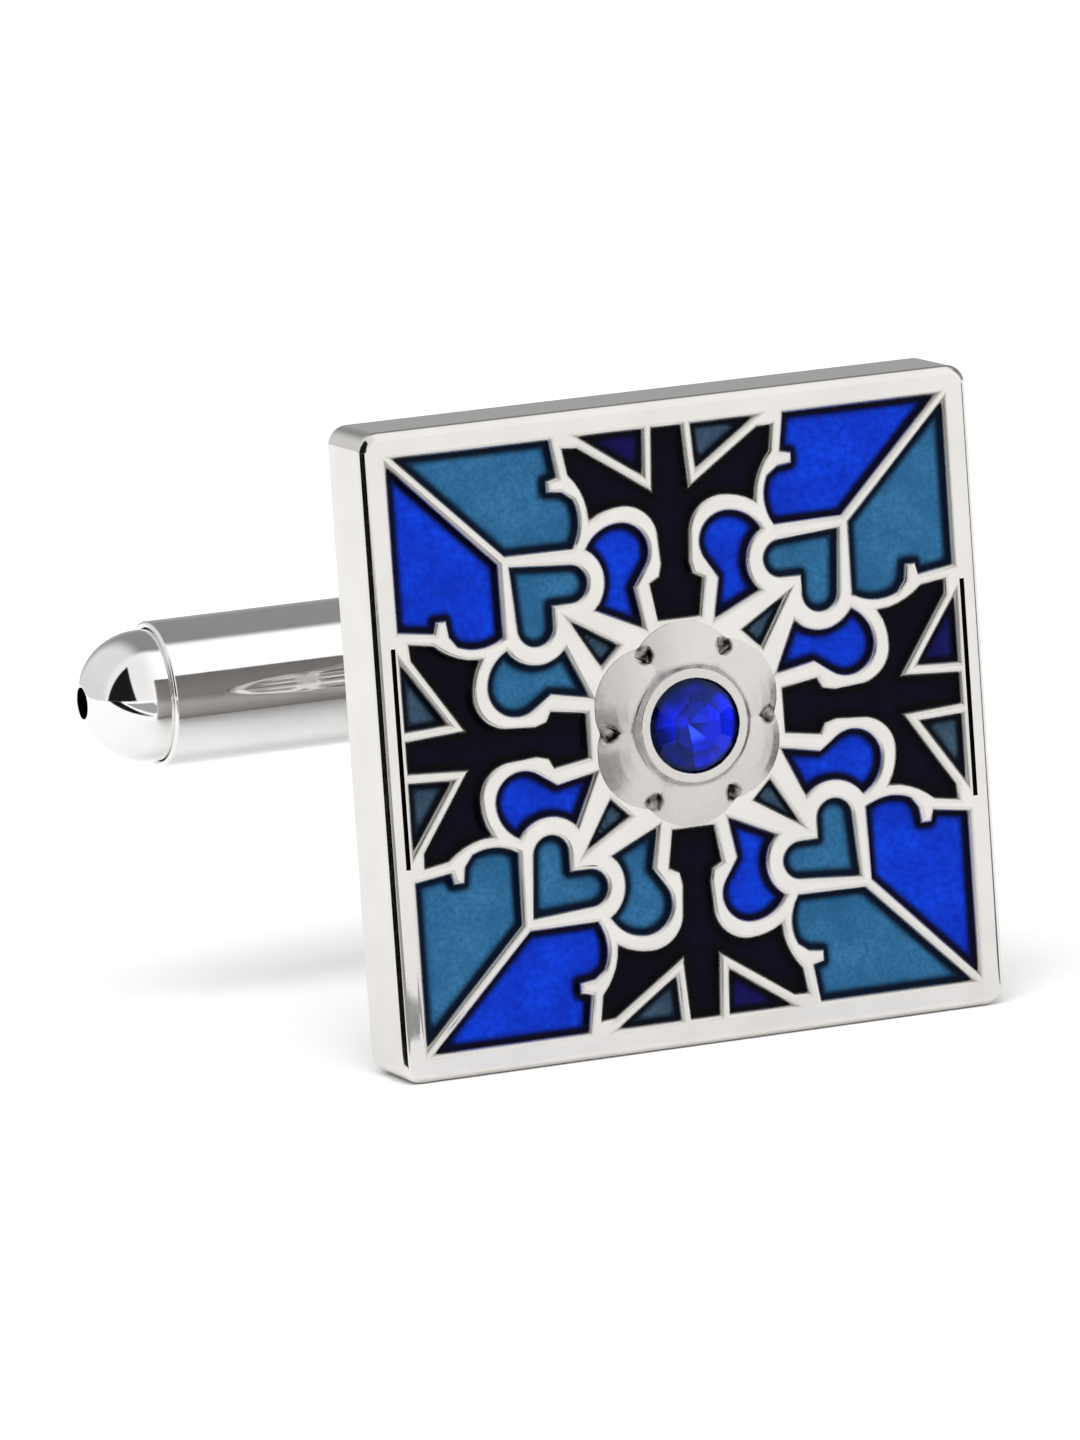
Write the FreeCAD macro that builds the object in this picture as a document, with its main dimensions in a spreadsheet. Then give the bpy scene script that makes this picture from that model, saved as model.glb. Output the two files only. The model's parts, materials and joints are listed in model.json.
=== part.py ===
import FreeCAD, Part
import Sketcher
import math
import os

from FreeCAD import Placement, Rotation, Vector

# Square enamelled cufflink with a swivelling bullet back.
# The face looks along -Y, its upper edge is +Z, and the toggle lies behind it along X, as it is worn.
# The origin is the middle of the face tray's flat back, where the post's foot is soldered on.

doc = FreeCAD.newDocument("cufflink")

# Driving dimensions in millimetres, with shares as plain ratios.
SIZES = (
    # Face tray: a plated casting whose rim and cell walls end at one level.
    ("face_side", 16.0),
    ("plate_thickness", 2.5),
    ("corner_radius", 0.5),
    ("rim_edge_bevel", 0.16),
    ("back_edge_bevel", 0.26),
    ("rim_width", 0.7),
    ("wall_width", 0.3),
    ("cell_depth", 0.55),
    ("enamel_recess", 0.2),
    # Crystal setting: six domed lobes round a tapered ring that holds the stone.
    ("lobe_circle_radius", 1.1),
    ("lobe_reach", 1.5),
    ("lobe_height", 0.36),
    ("ring_radius", 1.4),
    ("ring_base_radius", 1.7),
    ("ring_height", 0.5),
    ("pit_circle_radius", 2.1),
    ("pit_radius", 0.28),
    ("pit_floor", 0.04),
    ("setting_peg_radius", 0.8),
    ("setting_peg_length", 0.7),
    ("setting_clearance", 0.02),
    # Crystal: a round stone with a flat table and a pointed back.
    ("crystal_radius", 1.15),
    ("crystal_girdle", 0.1),
    ("crystal_crown", 0.24),
    ("crystal_pavilion", 0.66),
    ("crystal_sink", 0.06),
    ("crystal_table_share", 0.52),
    ("crystal_break_share", 0.76),
    ("crystal_break_height_share", 0.68),
    # Post: a foot, and a strip bent into a fork whose arms carry the pin.
    ("foot_radius", 3.5),
    ("foot_thickness", 0.8),
    ("foot_bevel", 0.2),
    ("foot_recess", 0.2),
    ("pivot_height", 12.5),
    ("arm_thickness", 0.9),
    ("arm_width", 3.0),
    ("arm_round_share", 0.46),
    ("arm_clearance", 0.2),
    ("bend_radius", 0.6),
    # Pivot pin: round in the arms and squared inside the tube, with its ends riveted over.
    ("pin_radius", 0.6),
    ("pin_flat", 0.46),
    ("pin_square_share", 0.85),
    ("pin_head_radius", 1.0),
    ("pin_head_height", 0.32),
    ("pin_crown_share", 0.62),
    ("press_clearance", 0.01),
    ("running_clearance", 0.04),
    # Toggle: a thin tube with a domed tip plugged into each end.
    ("tube_diameter", 3.75),
    ("tube_wall", 0.18),
    ("tube_length", 17.2),
    ("tube_bevel_share", 0.65),
    ("plug_clearance", 0.015),
    ("plug_length", 2.2),
    ("tip_collar", 0.22),
    ("tip_hole_radius", 0.4),
    ("tip_hole_depth", 1.1),
    # Detent spring: a bowed strip that lies between the plugs and bears on the pin.
    ("spring_thickness", 0.2),
    ("spring_width", 1.5),
    ("spring_flat", 2.0),
    ("spring_foot", 2.4),
    # One overrun serves every cut that has to pass a face.
    ("overrun", 0.5),
)

sheet = doc.addObject("Spreadsheet::Sheet", "Sizes")
for row, (alias, number) in enumerate(SIZES, start=1):
    sheet.set(f"A{row}", alias)
    sheet.set(f"B{row}", str(number))
    sheet.setAlias(f"B{row}", alias)
doc.recompute()


def named(expression):
    """Puts the sheet's name in front of each alias of an expression."""
    words = []
    for word in expression.split():
        known = any(word == alias for alias, number in SIZES)
        words.append(f"Sizes.{word}" if known else word)
    return " ".join(words)


def value(expression):
    """The present value of an expression in the sheet's words."""
    result = sheet.evalExpression(named(expression))
    return getattr(result, "Value", result)


def bind(thing, setting, expression):
    """Ties one property of a document object to the sheet."""
    thing.setExpression(setting, named(expression))


# Heights above the flat back, and reaches, that several pieces share.
CELL_FLOOR = "( plate_thickness - cell_depth )"
PATTERN_HALF = "( face_side / 2 - rim_width + wall_width / 2 )"
FOOT_TOP = "( foot_thickness - foot_recess )"
GIRDLE_BASE = "( ring_height - crystal_sink - crystal_girdle )"
TUBE_RADIUS = "( tube_diameter / 2 )"
BORE_RADIUS = "( tube_diameter / 2 - tube_wall )"
PLUG_RADIUS = "( tube_diameter / 2 - tube_wall - plug_clearance )"
ARM_INNER = "( tube_diameter / 2 + arm_clearance )"
ARM_OUTER = "( tube_diameter / 2 + arm_clearance + arm_thickness )"

# How near two places are when they count as one.
NEAR = 1e-4

# Turns the face plane upright, so that what points out of it points along -Y.
FACE_TURN = Rotation(Vector(1, 0, 0), 90)


def new_body(label):
    body = doc.addObject("PartDesign::Body", label)
    body.Label = label
    return body


def new_sketch(body, name, role, height=None):
    """A sketch on one of the body's origin planes, raised by an expression where one is given."""
    sketch = body.newObject("Sketcher::SketchObject", name)
    planes = [plane for plane in body.Origin.OriginFeatures if plane.Role == role]
    sketch.AttachmentSupport = [(planes[0], "")]
    sketch.MapMode = "FlatFace"
    if height:
        bind(sketch, ".AttachmentOffset.Base.z", height)
    return sketch


def pin_down(sketch, side, end, axis, expression):
    """Holds one end of a side at a signed distance from the sketch's origin."""
    if expression == "0":
        other_axis = -2 if axis == "X" else -1
        sketch.addConstraint(Sketcher.Constraint("PointOnObject", side, end, other_axis))
        return
    minus = expression.startswith("- ")
    length = expression[2:] if minus else expression
    points = (side, end, -1, 1) if minus else (-1, 1, side, end)
    number = sketch.addConstraint(Sketcher.Constraint("Distance" + axis, *points, value(length)))
    bind(sketch, f"Constraints[{number}]", length)


def draw_outline(sketch, corners):
    """Draws a closed outline through corners, each a pair of expressions.

    A third expression in a corner is the radius of the arc that leaves it, bulging to its right.
    """
    points = [Vector(value(corner[0]), value(corner[1]), 0) for corner in corners]
    ends = []
    for number, corner in enumerate(corners):
        start = points[number]
        stop = points[(number + 1) % len(points)]
        if len(corner) == 2:
            side = sketch.addGeometry(Part.LineSegment(start, stop))
            ends.append((side, 1, 2))
            continue
        radius = value(corner[2])
        chord = stop - start
        right = Vector(chord.y, -chord.x, 0).normalize()
        bulge = radius - math.sqrt(radius ** 2 - chord.Length ** 2 / 4)
        arc = Part.Arc(start, (start + stop) / 2 + right * bulge, stop)
        side = sketch.addGeometry(arc)
        forward = sketch.Geometry[side].StartPoint.isEqual(start, NEAR)
        ends.append((side, 1, 2) if forward else (side, 2, 1))
        limit = sketch.addConstraint(Sketcher.Constraint("Radius", side, radius))
        bind(sketch, f"Constraints[{limit}]", corner[2])
    for number, (side, first, last) in enumerate(ends):
        after, after_first, after_last = ends[(number + 1) % len(ends)]
        sketch.addConstraint(Sketcher.Constraint("Coincident", side, last, after, after_first))
        pin_down(sketch, side, first, "X", corners[number][0])
        pin_down(sketch, side, first, "Y", corners[number][1])


def draw_circle(sketch, radius, up="0"):
    """A circle on the sketch's upright axis."""
    circle = sketch.addGeometry(Part.Circle(Vector(0, value(up), 0), Vector(0, 0, 1), value(radius)))
    pin_down(sketch, circle, 3, "X", "0")
    pin_down(sketch, circle, 3, "Y", up)
    number = sketch.addConstraint(Sketcher.Constraint("Radius", circle, value(radius)))
    bind(sketch, f"Constraints[{number}]", radius)


def pad(body, sketch, length, midplane=False):
    feature = body.newObject("PartDesign::Pad", "Pad")
    feature.Profile = sketch
    feature.Midplane = midplane
    bind(feature, "Length", length)
    doc.recompute()
    return feature


def pocket(body, sketch, length, midplane=False):
    """Cuts a profile into the body, and makes sure that something came away."""
    before = body.Shape.Volume
    feature = body.newObject("PartDesign::Pocket", "Pocket")
    feature.Profile = sketch
    feature.Midplane = midplane
    bind(feature, "Length", length)
    doc.recompute()
    if body.Shape.Volume >= before:
        raise RuntimeError(f"{body.Label}: a pocket cut nothing")
    return feature


def turn(body, sketch):
    """Spins a profile once round the sketch's upright axis."""
    feature = body.newObject("PartDesign::Revolution", "Revolution")
    feature.Profile = sketch
    feature.ReferenceAxis = (sketch, ["V_Axis"])
    feature.Angle = 360
    doc.recompute()
    return feature


def edges_where(shape, test):
    """Names of the edges for which a test of the edge holds."""
    return [f"Edge{number}" for number, edge in enumerate(shape.Edges, start=1) if test(edge)]


def soften(body, kind, setting, expression, test):
    """Fillets or chamfers the edges of a body's last feature that pass a test."""
    base = body.Tip
    feature = body.newObject("PartDesign::" + kind, kind)
    feature.Base = (base, edges_where(base.Shape, test))
    bind(feature, setting, expression)
    doc.recompute()
    return feature


def lies_at(edge, axis, place):
    """Whether the whole edge lies at one height along an axis of its body."""
    low = getattr(edge.BoundBox, axis + "Min")
    high = getattr(edge.BoundBox, axis + "Max")
    return abs(low - place) < NEAR and abs(high - place) < NEAR


def runs_along(edge, axis):
    """Whether the edge is a straight one along an axis of its body."""
    return edge.Curve.TypeId == "Part::GeomLine" and abs(getattr(edge.Curve.Direction, axis)) > 0.999


# Face tray: a square casting with rounded corners and softened edges.
tray_body = new_body("tray_blank")
half_side = "face_side / 2"
outline = new_sketch(tray_body, "TrayOutline", "XY_Plane")
draw_outline(outline, (
    ("- " + half_side, "- " + half_side),
    (half_side, "- " + half_side),
    (half_side, half_side),
    ("- " + half_side, half_side),
))
pad(tray_body, outline, "plate_thickness")
soften(tray_body, "Fillet", "Radius", "corner_radius", lambda edge: runs_along(edge, "z"))
soften(tray_body, "Chamfer", "Size", "rim_edge_bevel",
       lambda edge: lies_at(edge, "Z", value("plate_thickness")))
soften(tray_body, "Chamfer", "Size", "back_edge_bevel", lambda edge: lies_at(edge, "Z", 0))

# Cell outlines along the middles of the walls, as shares of the pattern's half side.
# A pair is a corner. Four numbers are an arc through the first pair to the second.
# They show the cells right of the upper arm, which is turned and mirrored for the others.
TREE_HALF_SHARES = (
    (0.068, 1.0),
    (0.079, 0.803),
    (0.313, 0.963),
    (0.388, 0.966),
    (0.372, 0.856),
    (0.322, 0.775, 0.310, 0.672),
    (0.247, 0.709, 0.175, 0.722),
    (0.102, 0.692, 0.072, 0.619),
    (0.066, 0.535),
    (0.074, 0.502),
    (0.111, 0.481),
    (0.088, 0.332),
)
TRIANGLE_SHARES = (
    (0.068, 1.0),
    (0.366, 1.0),
    (0.079, 0.803),
)
PETAL_SHARES = (
    (0.331, 0.604),
    (0.276, 0.675, 0.190, 0.702),
    (0.091, 0.648, 0.085, 0.535),
    (0.098, 0.514),
    (0.133, 0.463),
    (0.105, 0.304),
    (0.324, 0.405),
    (0.268, 0.500, 0.331, 0.604),
)
WEDGE_SHARES = (
    (0.399, 1.0),
    (1.0, 1.0),
    (0.604, 0.604),
    (0.347, 0.602),
    (0.312, 0.700, 0.330, 0.791),
    (0.374, 0.824),
    (0.416, 0.829),
    (0.416, 0.836),
    (0.377, 0.846),
)
HEART_HALF_SHARES = (
    (0.599, 0.599),
    (0.375, 0.584),
    (0.295, 0.504, 0.375, 0.424),
    (0.424, 0.424),
)
DART_HALF_SHARES = (
    (0.432, 0.432),
    (0.194, 0.287),
)


def sides_of(shares):
    """Start, way point and end of each side along a run of shares, with no way point on a straight side."""
    sides = []
    start = shares[0]
    for step in shares[1:]:
        sides.append((start, step[:2] if len(step) == 4 else None, step[-2:]))
        start = step[-2:]
    return sides


def closed(sides):
    """Adds the straight side that closes a run, where it isn't closed yet."""
    first = sides[0][0]
    last = sides[-1][2]
    return sides if first == last else sides + [(last, None, first)]


def with_mirror(sides, mirror):
    """Adds the mirror image of half an outline, so that the two halves make one closed run."""
    image = []
    for start, way, end in reversed(sides):
        image.append((mirror(end), mirror(way) if way else None, mirror(start)))
    bridge = (sides[-1][2], None, image[0][0])
    whole = sides + image if bridge[0] == bridge[2] else sides + [bridge] + image
    return closed(whole)


def across_arm(point):
    return (-point[0], point[1])


def across_diagonal(point):
    return (point[1], point[0])


def quarter_turned(point, turns):
    """A point turned clockwise by quarter turns about the middle of the face."""
    for step in range(turns):
        point = (point[1], -point[0])
    return point


def cell_face(sides, turns, mirrored):
    """The unit face of one cell, turned and mirrored into its place."""
    def placed(point):
        moved = across_arm(point) if mirrored else point
        return Vector(*quarter_turned(moved, turns), 0)
    edges = []
    for start, way, end in sides:
        if way:
            edges.append(Part.Arc(placed(start), placed(way), placed(end)).toShape())
        else:
            edges.append(Part.LineSegment(placed(start), placed(end)).toShape())
    return Part.Face(Part.Wire(edges))


TREE_SIDES = with_mirror(sides_of(TREE_HALF_SHARES), across_arm)
TRIANGLE_SIDES = closed(sides_of(TRIANGLE_SHARES))
PETAL_SIDES = closed(sides_of(PETAL_SHARES))
WEDGE_SIDES = closed(sides_of(WEDGE_SHARES))
HEART_SIDES = with_mirror(sides_of(HEART_HALF_SHARES), across_diagonal)
DART_SIDES = with_mirror(sides_of(DART_HALF_SHARES), across_diagonal)

# Each arm with the names of its plain and its mirrored side, clockwise from the top.
ARMS = (
    ("top", "right", "left"),
    ("right", "lower", "upper"),
    ("bottom", "left", "right"),
    ("left", "upper", "lower"),
)
CORNERS = ("upper_right", "lower_right", "lower_left", "upper_left")

cells = []
for turns, (arm, plain_side, mirrored_side) in enumerate(ARMS):
    cells.append((f"enamel_{arm}_tree", TREE_SIDES, turns, False))
    for kind, sides in (("triangle", TRIANGLE_SIDES), ("petal", PETAL_SIDES), ("wedge", WEDGE_SIDES)):
        cells.append((f"enamel_{arm}_{kind}_{plain_side}", sides, turns, False))
        cells.append((f"enamel_{arm}_{kind}_{mirrored_side}", sides, turns, True))
    cells.append((f"enamel_{CORNERS[turns]}_heart", HEART_SIDES, turns, False))
    cells.append((f"enamel_{CORNERS[turns]}_dart", DART_SIDES, turns, False))

# Enamel: each cell's outline is scaled to the face, drawn in by half a wall and filled.
sub_parts = []
cell_outlines = []
for label, sides, turns, mirrored in cells:
    unit = doc.addObject("Part::Feature", label + "_unit")
    unit.Shape = cell_face(sides, turns, mirrored)
    scaled = doc.addObject("Part::Scale", label + "_scaled")
    scaled.Base = unit
    scaled.Uniform = True
    bind(scaled, "UniformScale", PATTERN_HALF)
    drawn_in = doc.addObject("Part::Offset2D", label + "_outline")
    drawn_in.Source = scaled
    drawn_in.Mode = "Skin"
    drawn_in.Join = "Intersection"
    bind(drawn_in, "Value", "- wall_width / 2")
    fill = doc.addObject("Part::Extrusion", label)
    fill.Label = label
    fill.Base = drawn_in
    fill.DirMode = "Custom"
    fill.Dir = Vector(0, 0, 1)
    fill.Solid = True
    bind(fill, "LengthFwd", "cell_depth - enamel_recess")
    fill.Placement = Placement(Vector(), FACE_TURN)
    bind(fill, ".Placement.Base.y", "- " + CELL_FLOOR)
    cell_outlines.append(drawn_in)
    sub_parts.append(fill)

# The same outlines sink the cells into the tray, whose back gets a round seat for the post's foot.
all_outlines = doc.addObject("Part::Compound", "cell_outlines")
all_outlines.Links = cell_outlines
cell_cutter = doc.addObject("Part::Extrusion", "cell_cutter")
cell_cutter.Base = all_outlines
cell_cutter.DirMode = "Custom"
cell_cutter.Dir = Vector(0, 0, 1)
cell_cutter.Solid = True
bind(cell_cutter, "LengthFwd", "cell_depth + overrun")
bind(cell_cutter, ".Placement.Base.z", CELL_FLOOR)
foot_seat = doc.addObject("Part::Cylinder", "foot_seat")
bind(foot_seat, "Radius", "foot_radius + setting_clearance")
bind(foot_seat, "Height", "foot_recess + overrun")
bind(foot_seat, ".Placement.Base.z", "- overrun")
peg_hole = doc.addObject("Part::Cylinder", "peg_hole")
bind(peg_hole, "Radius", "setting_peg_radius + setting_clearance")
bind(peg_hole, "Height", "setting_peg_length + setting_clearance + overrun")
bind(peg_hole, ".Placement.Base.z", "plate_thickness - setting_peg_length - setting_clearance")
tray_cuts = doc.addObject("Part::Compound", "tray_cuts")
tray_cuts.Links = [cell_cutter, peg_hole, foot_seat]
face_tray = doc.addObject("Part::Cut", "face_tray")
face_tray.Label = "face_tray"
face_tray.Base = tray_body
face_tray.Tool = tray_cuts
face_tray.Placement = Placement(Vector(), FACE_TURN)
sub_parts.insert(0, face_tray)

# Crystal setting: six ball-shaped lobes and the stone's ring, trimmed flat where they sit on the walls.
# A three-sided pit is punched into each crease between two lobes, pointing inwards.
LOBE_BALL = "( ( lobe_reach ^ 2 + lobe_height ^ 2 ) / ( 2 * lobe_height ) )"
LOBES = 6
setting_pieces = []
pits = []
for number in range(LOBES):
    bearing = math.radians((number + 0.5) * 360 / LOBES)
    lobe = doc.addObject("Part::Sphere", f"setting_lobe_{number + 1}")
    bind(lobe, "Radius", LOBE_BALL)
    bind(lobe, ".Placement.Base.x", f"lobe_circle_radius * {math.cos(bearing)}")
    bind(lobe, ".Placement.Base.y", f"lobe_circle_radius * {math.sin(bearing)}")
    bind(lobe, ".Placement.Base.z", "lobe_height - " + LOBE_BALL)
    setting_pieces.append(lobe)
    crease = number * 360 / LOBES
    pit = doc.addObject("Part::Prism", f"setting_pit_{number + 1}")
    pit.Polygon = 3
    pit.Placement = Placement(Vector(), Rotation(Vector(0, 0, 1), crease + 180))
    bind(pit, "Circumradius", "pit_radius")
    bind(pit, "Height", "lobe_height + overrun")
    bind(pit, ".Placement.Base.x", f"pit_circle_radius * {math.cos(math.radians(crease))}")
    bind(pit, ".Placement.Base.y", f"pit_circle_radius * {math.sin(math.radians(crease))}")
    bind(pit, ".Placement.Base.z", "pit_floor")
    pits.append(pit)
ring = doc.addObject("Part::Cone", "setting_ring")
bind(ring, "Radius1", "ring_base_radius")
bind(ring, "Radius2", "ring_radius")
bind(ring, "Height", "ring_height")
setting_pieces.append(ring)
lobes_and_ring = doc.addObject("Part::MultiFuse", "setting_lobes_and_ring")
lobes_and_ring.Shapes = setting_pieces
above_field = doc.addObject("Part::Cylinder", "setting_above_field")
bind(above_field, "Radius", "lobe_circle_radius + lobe_reach + overrun")
bind(above_field, "Height", "ring_height")
trimmed = doc.addObject("Part::Common", "setting_trimmed")
trimmed.Base = lobes_and_ring
trimmed.Tool = above_field
peg = doc.addObject("Part::Cylinder", "setting_peg")
bind(peg, "Radius", "setting_peg_radius")
bind(peg, "Height", "setting_peg_length + overrun")
bind(peg, ".Placement.Base.z", "- setting_peg_length")
with_peg = doc.addObject("Part::Fuse", "setting_with_peg")
with_peg.Base = trimmed
with_peg.Tool = peg
seat_bore = doc.addObject("Part::Cylinder", "setting_seat_bore")
bind(seat_bore, "Radius", "crystal_radius + setting_clearance")
bind(seat_bore, "Height", "crystal_girdle + crystal_sink + overrun")
bind(seat_bore, ".Placement.Base.z", GIRDLE_BASE)
seat_cone = doc.addObject("Part::Cone", "setting_seat_cone")
seat_cone.Radius1 = 0
bind(seat_cone, "Radius2", "crystal_radius + setting_clearance")
bind(seat_cone, "Height", "crystal_pavilion + setting_clearance")
bind(seat_cone, ".Placement.Base.z", GIRDLE_BASE + " - crystal_pavilion - setting_clearance")
setting_cuts = doc.addObject("Part::Compound", "setting_cuts")
setting_cuts.Links = [seat_bore, seat_cone] + pits
setting = doc.addObject("Part::Cut", "crystal_setting")
setting.Label = "crystal_setting"
setting.Base = with_peg
setting.Tool = setting_cuts
setting.Placement = Placement(Vector(), FACE_TURN)
bind(setting, ".Placement.Base.y", "- plate_thickness")
sub_parts.append(setting)


# Crystal: a round blank is cut facet by facet, eight to a tier, as a stone is.
FACETS = 8


def facet_block(outer, inner, bearing, size):
    """Everything outside the plane that slopes from an outer to an inner radius and height."""
    slope = Vector(inner[1] - outer[1], 0, outer[0] - inner[0])
    if slope.x < 0:
        slope = Vector(-slope.x, 0, -slope.z)
    block = Part.makeBox(size, size, size, Vector(-size / 2, -size / 2, 0))
    block.Placement = Placement(Vector(outer[0], 0, outer[1]), Rotation(Vector(0, 0, 1), slope))
    block.rotate(Vector(), Vector(0, 0, 1), bearing)
    return block


def crystal_shape():
    radius = value("crystal_radius")
    girdle_top = value("crystal_girdle")
    table_top = girdle_top + value("crystal_crown")
    table_radius = radius * value("crystal_table_share")
    break_radius = radius * value("crystal_break_share")
    break_height = girdle_top + value("crystal_crown") * value("crystal_break_height_share")
    depth = value("crystal_pavilion")
    tiers = (
        ((radius, girdle_top), (table_radius, table_top), 0),
        ((radius, girdle_top), (break_radius, break_height), 0.5),
        ((radius * math.cos(math.pi / FACETS), 0), (0, -depth), 0.5),
    )
    stone = Part.makeCylinder(radius, depth + table_top, Vector(0, 0, -depth))
    for outer, inner, phase_share in tiers:
        for number in range(FACETS):
            bearing = (number + phase_share) * 360 / FACETS
            stone = stone.cut(facet_block(outer, inner, bearing, depth + table_top + radius * 2))
    return stone


crystal = doc.addObject("Part::Feature", "crystal")
crystal.Label = "crystal"
crystal.Shape = crystal_shape()
crystal.Placement = Placement(Vector(0, -value("plate_thickness + " + GIRDLE_BASE), 0), FACE_TURN)
sub_parts.append(crystal)

# Post foot: a turned disc soldered into its seat in the tray's back.
foot = new_body("post_foot")
foot_sketch = new_sketch(foot, "FootProfile", "XZ_Plane")
draw_outline(foot_sketch, (
    ("0", "0"),
    ("foot_radius", "0"),
    ("foot_radius", "foot_thickness - foot_bevel"),
    ("foot_radius - foot_bevel", "foot_thickness"),
    ("0", "foot_thickness"),
))
turn(foot, foot_sketch)
foot.Placement = Placement(Vector(), Rotation(Vector(1, 0, 0), -90))
bind(foot, ".Placement.Base.y", "- foot_recess")
sub_parts.append(foot)

# Post fork: a strip bent into a U, with rounded ends that carry the pin above and below the toggle.
fork = new_body("post_fork")
arm_end = "pivot_height + arm_width / 2"
fork_floor = FOOT_TOP + " + arm_thickness"
fork_sketch = new_sketch(fork, "ForkProfile", "YZ_Plane")
draw_outline(fork_sketch, (
    (FOOT_TOP, "- " + ARM_OUTER),
    (arm_end, "- " + ARM_OUTER),
    (arm_end, "- " + ARM_INNER),
    (fork_floor, "- " + ARM_INNER),
    (fork_floor, ARM_INNER),
    (arm_end, ARM_INNER),
    (arm_end, ARM_OUTER),
    (FOOT_TOP, ARM_OUTER),
))
pad(fork, fork_sketch, "arm_width", midplane=True)
soften(fork, "Fillet", "Radius", "bend_radius + arm_thickness",
       lambda edge: runs_along(edge, "x") and lies_at(edge, "Y", value(FOOT_TOP)))
soften(fork, "Fillet", "Radius", "bend_radius",
       lambda edge: runs_along(edge, "x") and lies_at(edge, "Y", value(fork_floor)))
soften(fork, "Fillet", "Radius", "arm_width * arm_round_share",
       lambda edge: runs_along(edge, "z") and lies_at(edge, "Y", value(arm_end)))
arm_hole = new_sketch(fork, "ArmHole", "XY_Plane")
draw_circle(arm_hole, "pin_radius + press_clearance", "pivot_height")
pocket(fork, arm_hole, "2 * " + ARM_OUTER + " + overrun", midplane=True)
sub_parts.append(fork)

# Pivot pin: its ends are riveted to low crowns, and its squared middle works against the spring.
pin = new_body("pivot_pin")
pin_top = ARM_OUTER + " + pin_head_height"
crown_radius = "pin_head_radius * pin_crown_share"
pin_sketch = new_sketch(pin, "PinProfile", "XZ_Plane")
draw_outline(pin_sketch, (
    ("0", "- ( " + pin_top + " )"),
    (crown_radius, "- ( " + pin_top + " )"),
    ("pin_head_radius", "- " + ARM_OUTER),
    ("pin_radius", "- " + ARM_OUTER),
    ("pin_radius", ARM_OUTER),
    ("pin_head_radius", ARM_OUTER),
    (crown_radius, pin_top),
    ("0", pin_top),
))
turn(pin, pin_sketch)
square_sketch = new_sketch(pin, "PinSquare", "XY_Plane")
draw_circle(square_sketch, "pin_radius + overrun")
draw_outline(square_sketch, (
    ("- pin_flat", "- pin_flat"),
    ("pin_flat", "- pin_flat"),
    ("pin_flat", "pin_flat"),
    ("- pin_flat", "pin_flat"),
))
pocket(pin, square_sketch, "2 * pin_square_share * " + BORE_RADIUS, midplane=True)
bind(pin, ".Placement.Base.y", "pivot_height")
sub_parts.append(pin)

# Toggle tube: thin, open at both ends, with bevelled edges and a hole across it for the pin.
tube = new_body("toggle_tube")
tube_sketch = new_sketch(tube, "TubeSection", "YZ_Plane")
draw_circle(tube_sketch, TUBE_RADIUS)
draw_circle(tube_sketch, BORE_RADIUS)
pad(tube, tube_sketch, "tube_length", midplane=True)
soften(tube, "Chamfer", "Size", "tube_wall * tube_bevel_share",
       lambda edge: edge.BoundBox.YMax > value(BORE_RADIUS) + NEAR
       and edge.Curve.TypeId == "Part::GeomCircle")
tube_hole = new_sketch(tube, "TubeHole", "XY_Plane")
draw_circle(tube_hole, "pin_radius + running_clearance")
pocket(tube, tube_hole, "tube_diameter + overrun", midplane=True)
bind(tube, ".Placement.Base.y", "pivot_height")
sub_parts.append(tube)

# Toggle tips: turned plugs with a ball-shaped end and a small hole in its top.
TIP_TOP = "( tip_collar + ( " + PLUG_RADIUS + " ^ 2 - tip_hole_radius ^ 2 ) ^ 0.5 )"
for label, bearing, way in (("toggle_tip_left", -90, "- "), ("toggle_tip_right", 90, "")):
    tip = new_body(label)
    tip_sketch = new_sketch(tip, "TipProfile", "XZ_Plane")
    draw_outline(tip_sketch, (
        ("0", "- plug_length"),
        (PLUG_RADIUS, "- plug_length"),
        (PLUG_RADIUS, "tip_collar", PLUG_RADIUS),
        ("tip_hole_radius", TIP_TOP),
        ("tip_hole_radius", TIP_TOP + " - tip_hole_depth"),
        ("0", TIP_TOP + " - tip_hole_depth"),
    ))
    turn(tip, tip_sketch)
    tip.Placement = Placement(Vector(), Rotation(Vector(0, 1, 0), bearing))
    bind(tip, ".Placement.Base.x", way + "tube_length / 2")
    bind(tip, ".Placement.Base.y", "pivot_height")
    sub_parts.append(tip)

# Detent spring: a strip bowed towards the pin, with its feet on the far wall of the tube.
spring = new_body("detent_spring")
spring_end = "( tube_length / 2 - plug_length - plug_clearance )"
spring_knee = "( tube_length / 2 - plug_length - plug_clearance - spring_foot )"
foot_back = "( ( " + BORE_RADIUS + " ^ 2 - ( spring_width / 2 ) ^ 2 ) ^ 0.5 - plug_clearance )"
foot_front = foot_back + " - spring_thickness"
flat_front = "( pin_radius + running_clearance )"
flat_back = "( pin_radius + running_clearance + spring_thickness )"
half_flat = "( spring_flat / 2 )"
spring_sketch = new_sketch(spring, "SpringProfile", "XY_Plane")
draw_outline(spring_sketch, (
    ("- " + spring_end, foot_front),
    ("- " + spring_knee, foot_front),
    ("- " + half_flat, flat_front),
    (half_flat, flat_front),
    (spring_knee, foot_front),
    (spring_end, foot_front),
    (spring_end, foot_back),
    (spring_knee, foot_back),
    (half_flat, flat_back),
    ("- " + half_flat, flat_back),
    ("- " + spring_knee, foot_back),
    ("- " + spring_end, foot_back),
))
pad(spring, spring_sketch, "spring_width", midplane=True)
bind(spring, ".Placement.Base.y", "pivot_height")
sub_parts.append(spring)

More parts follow.
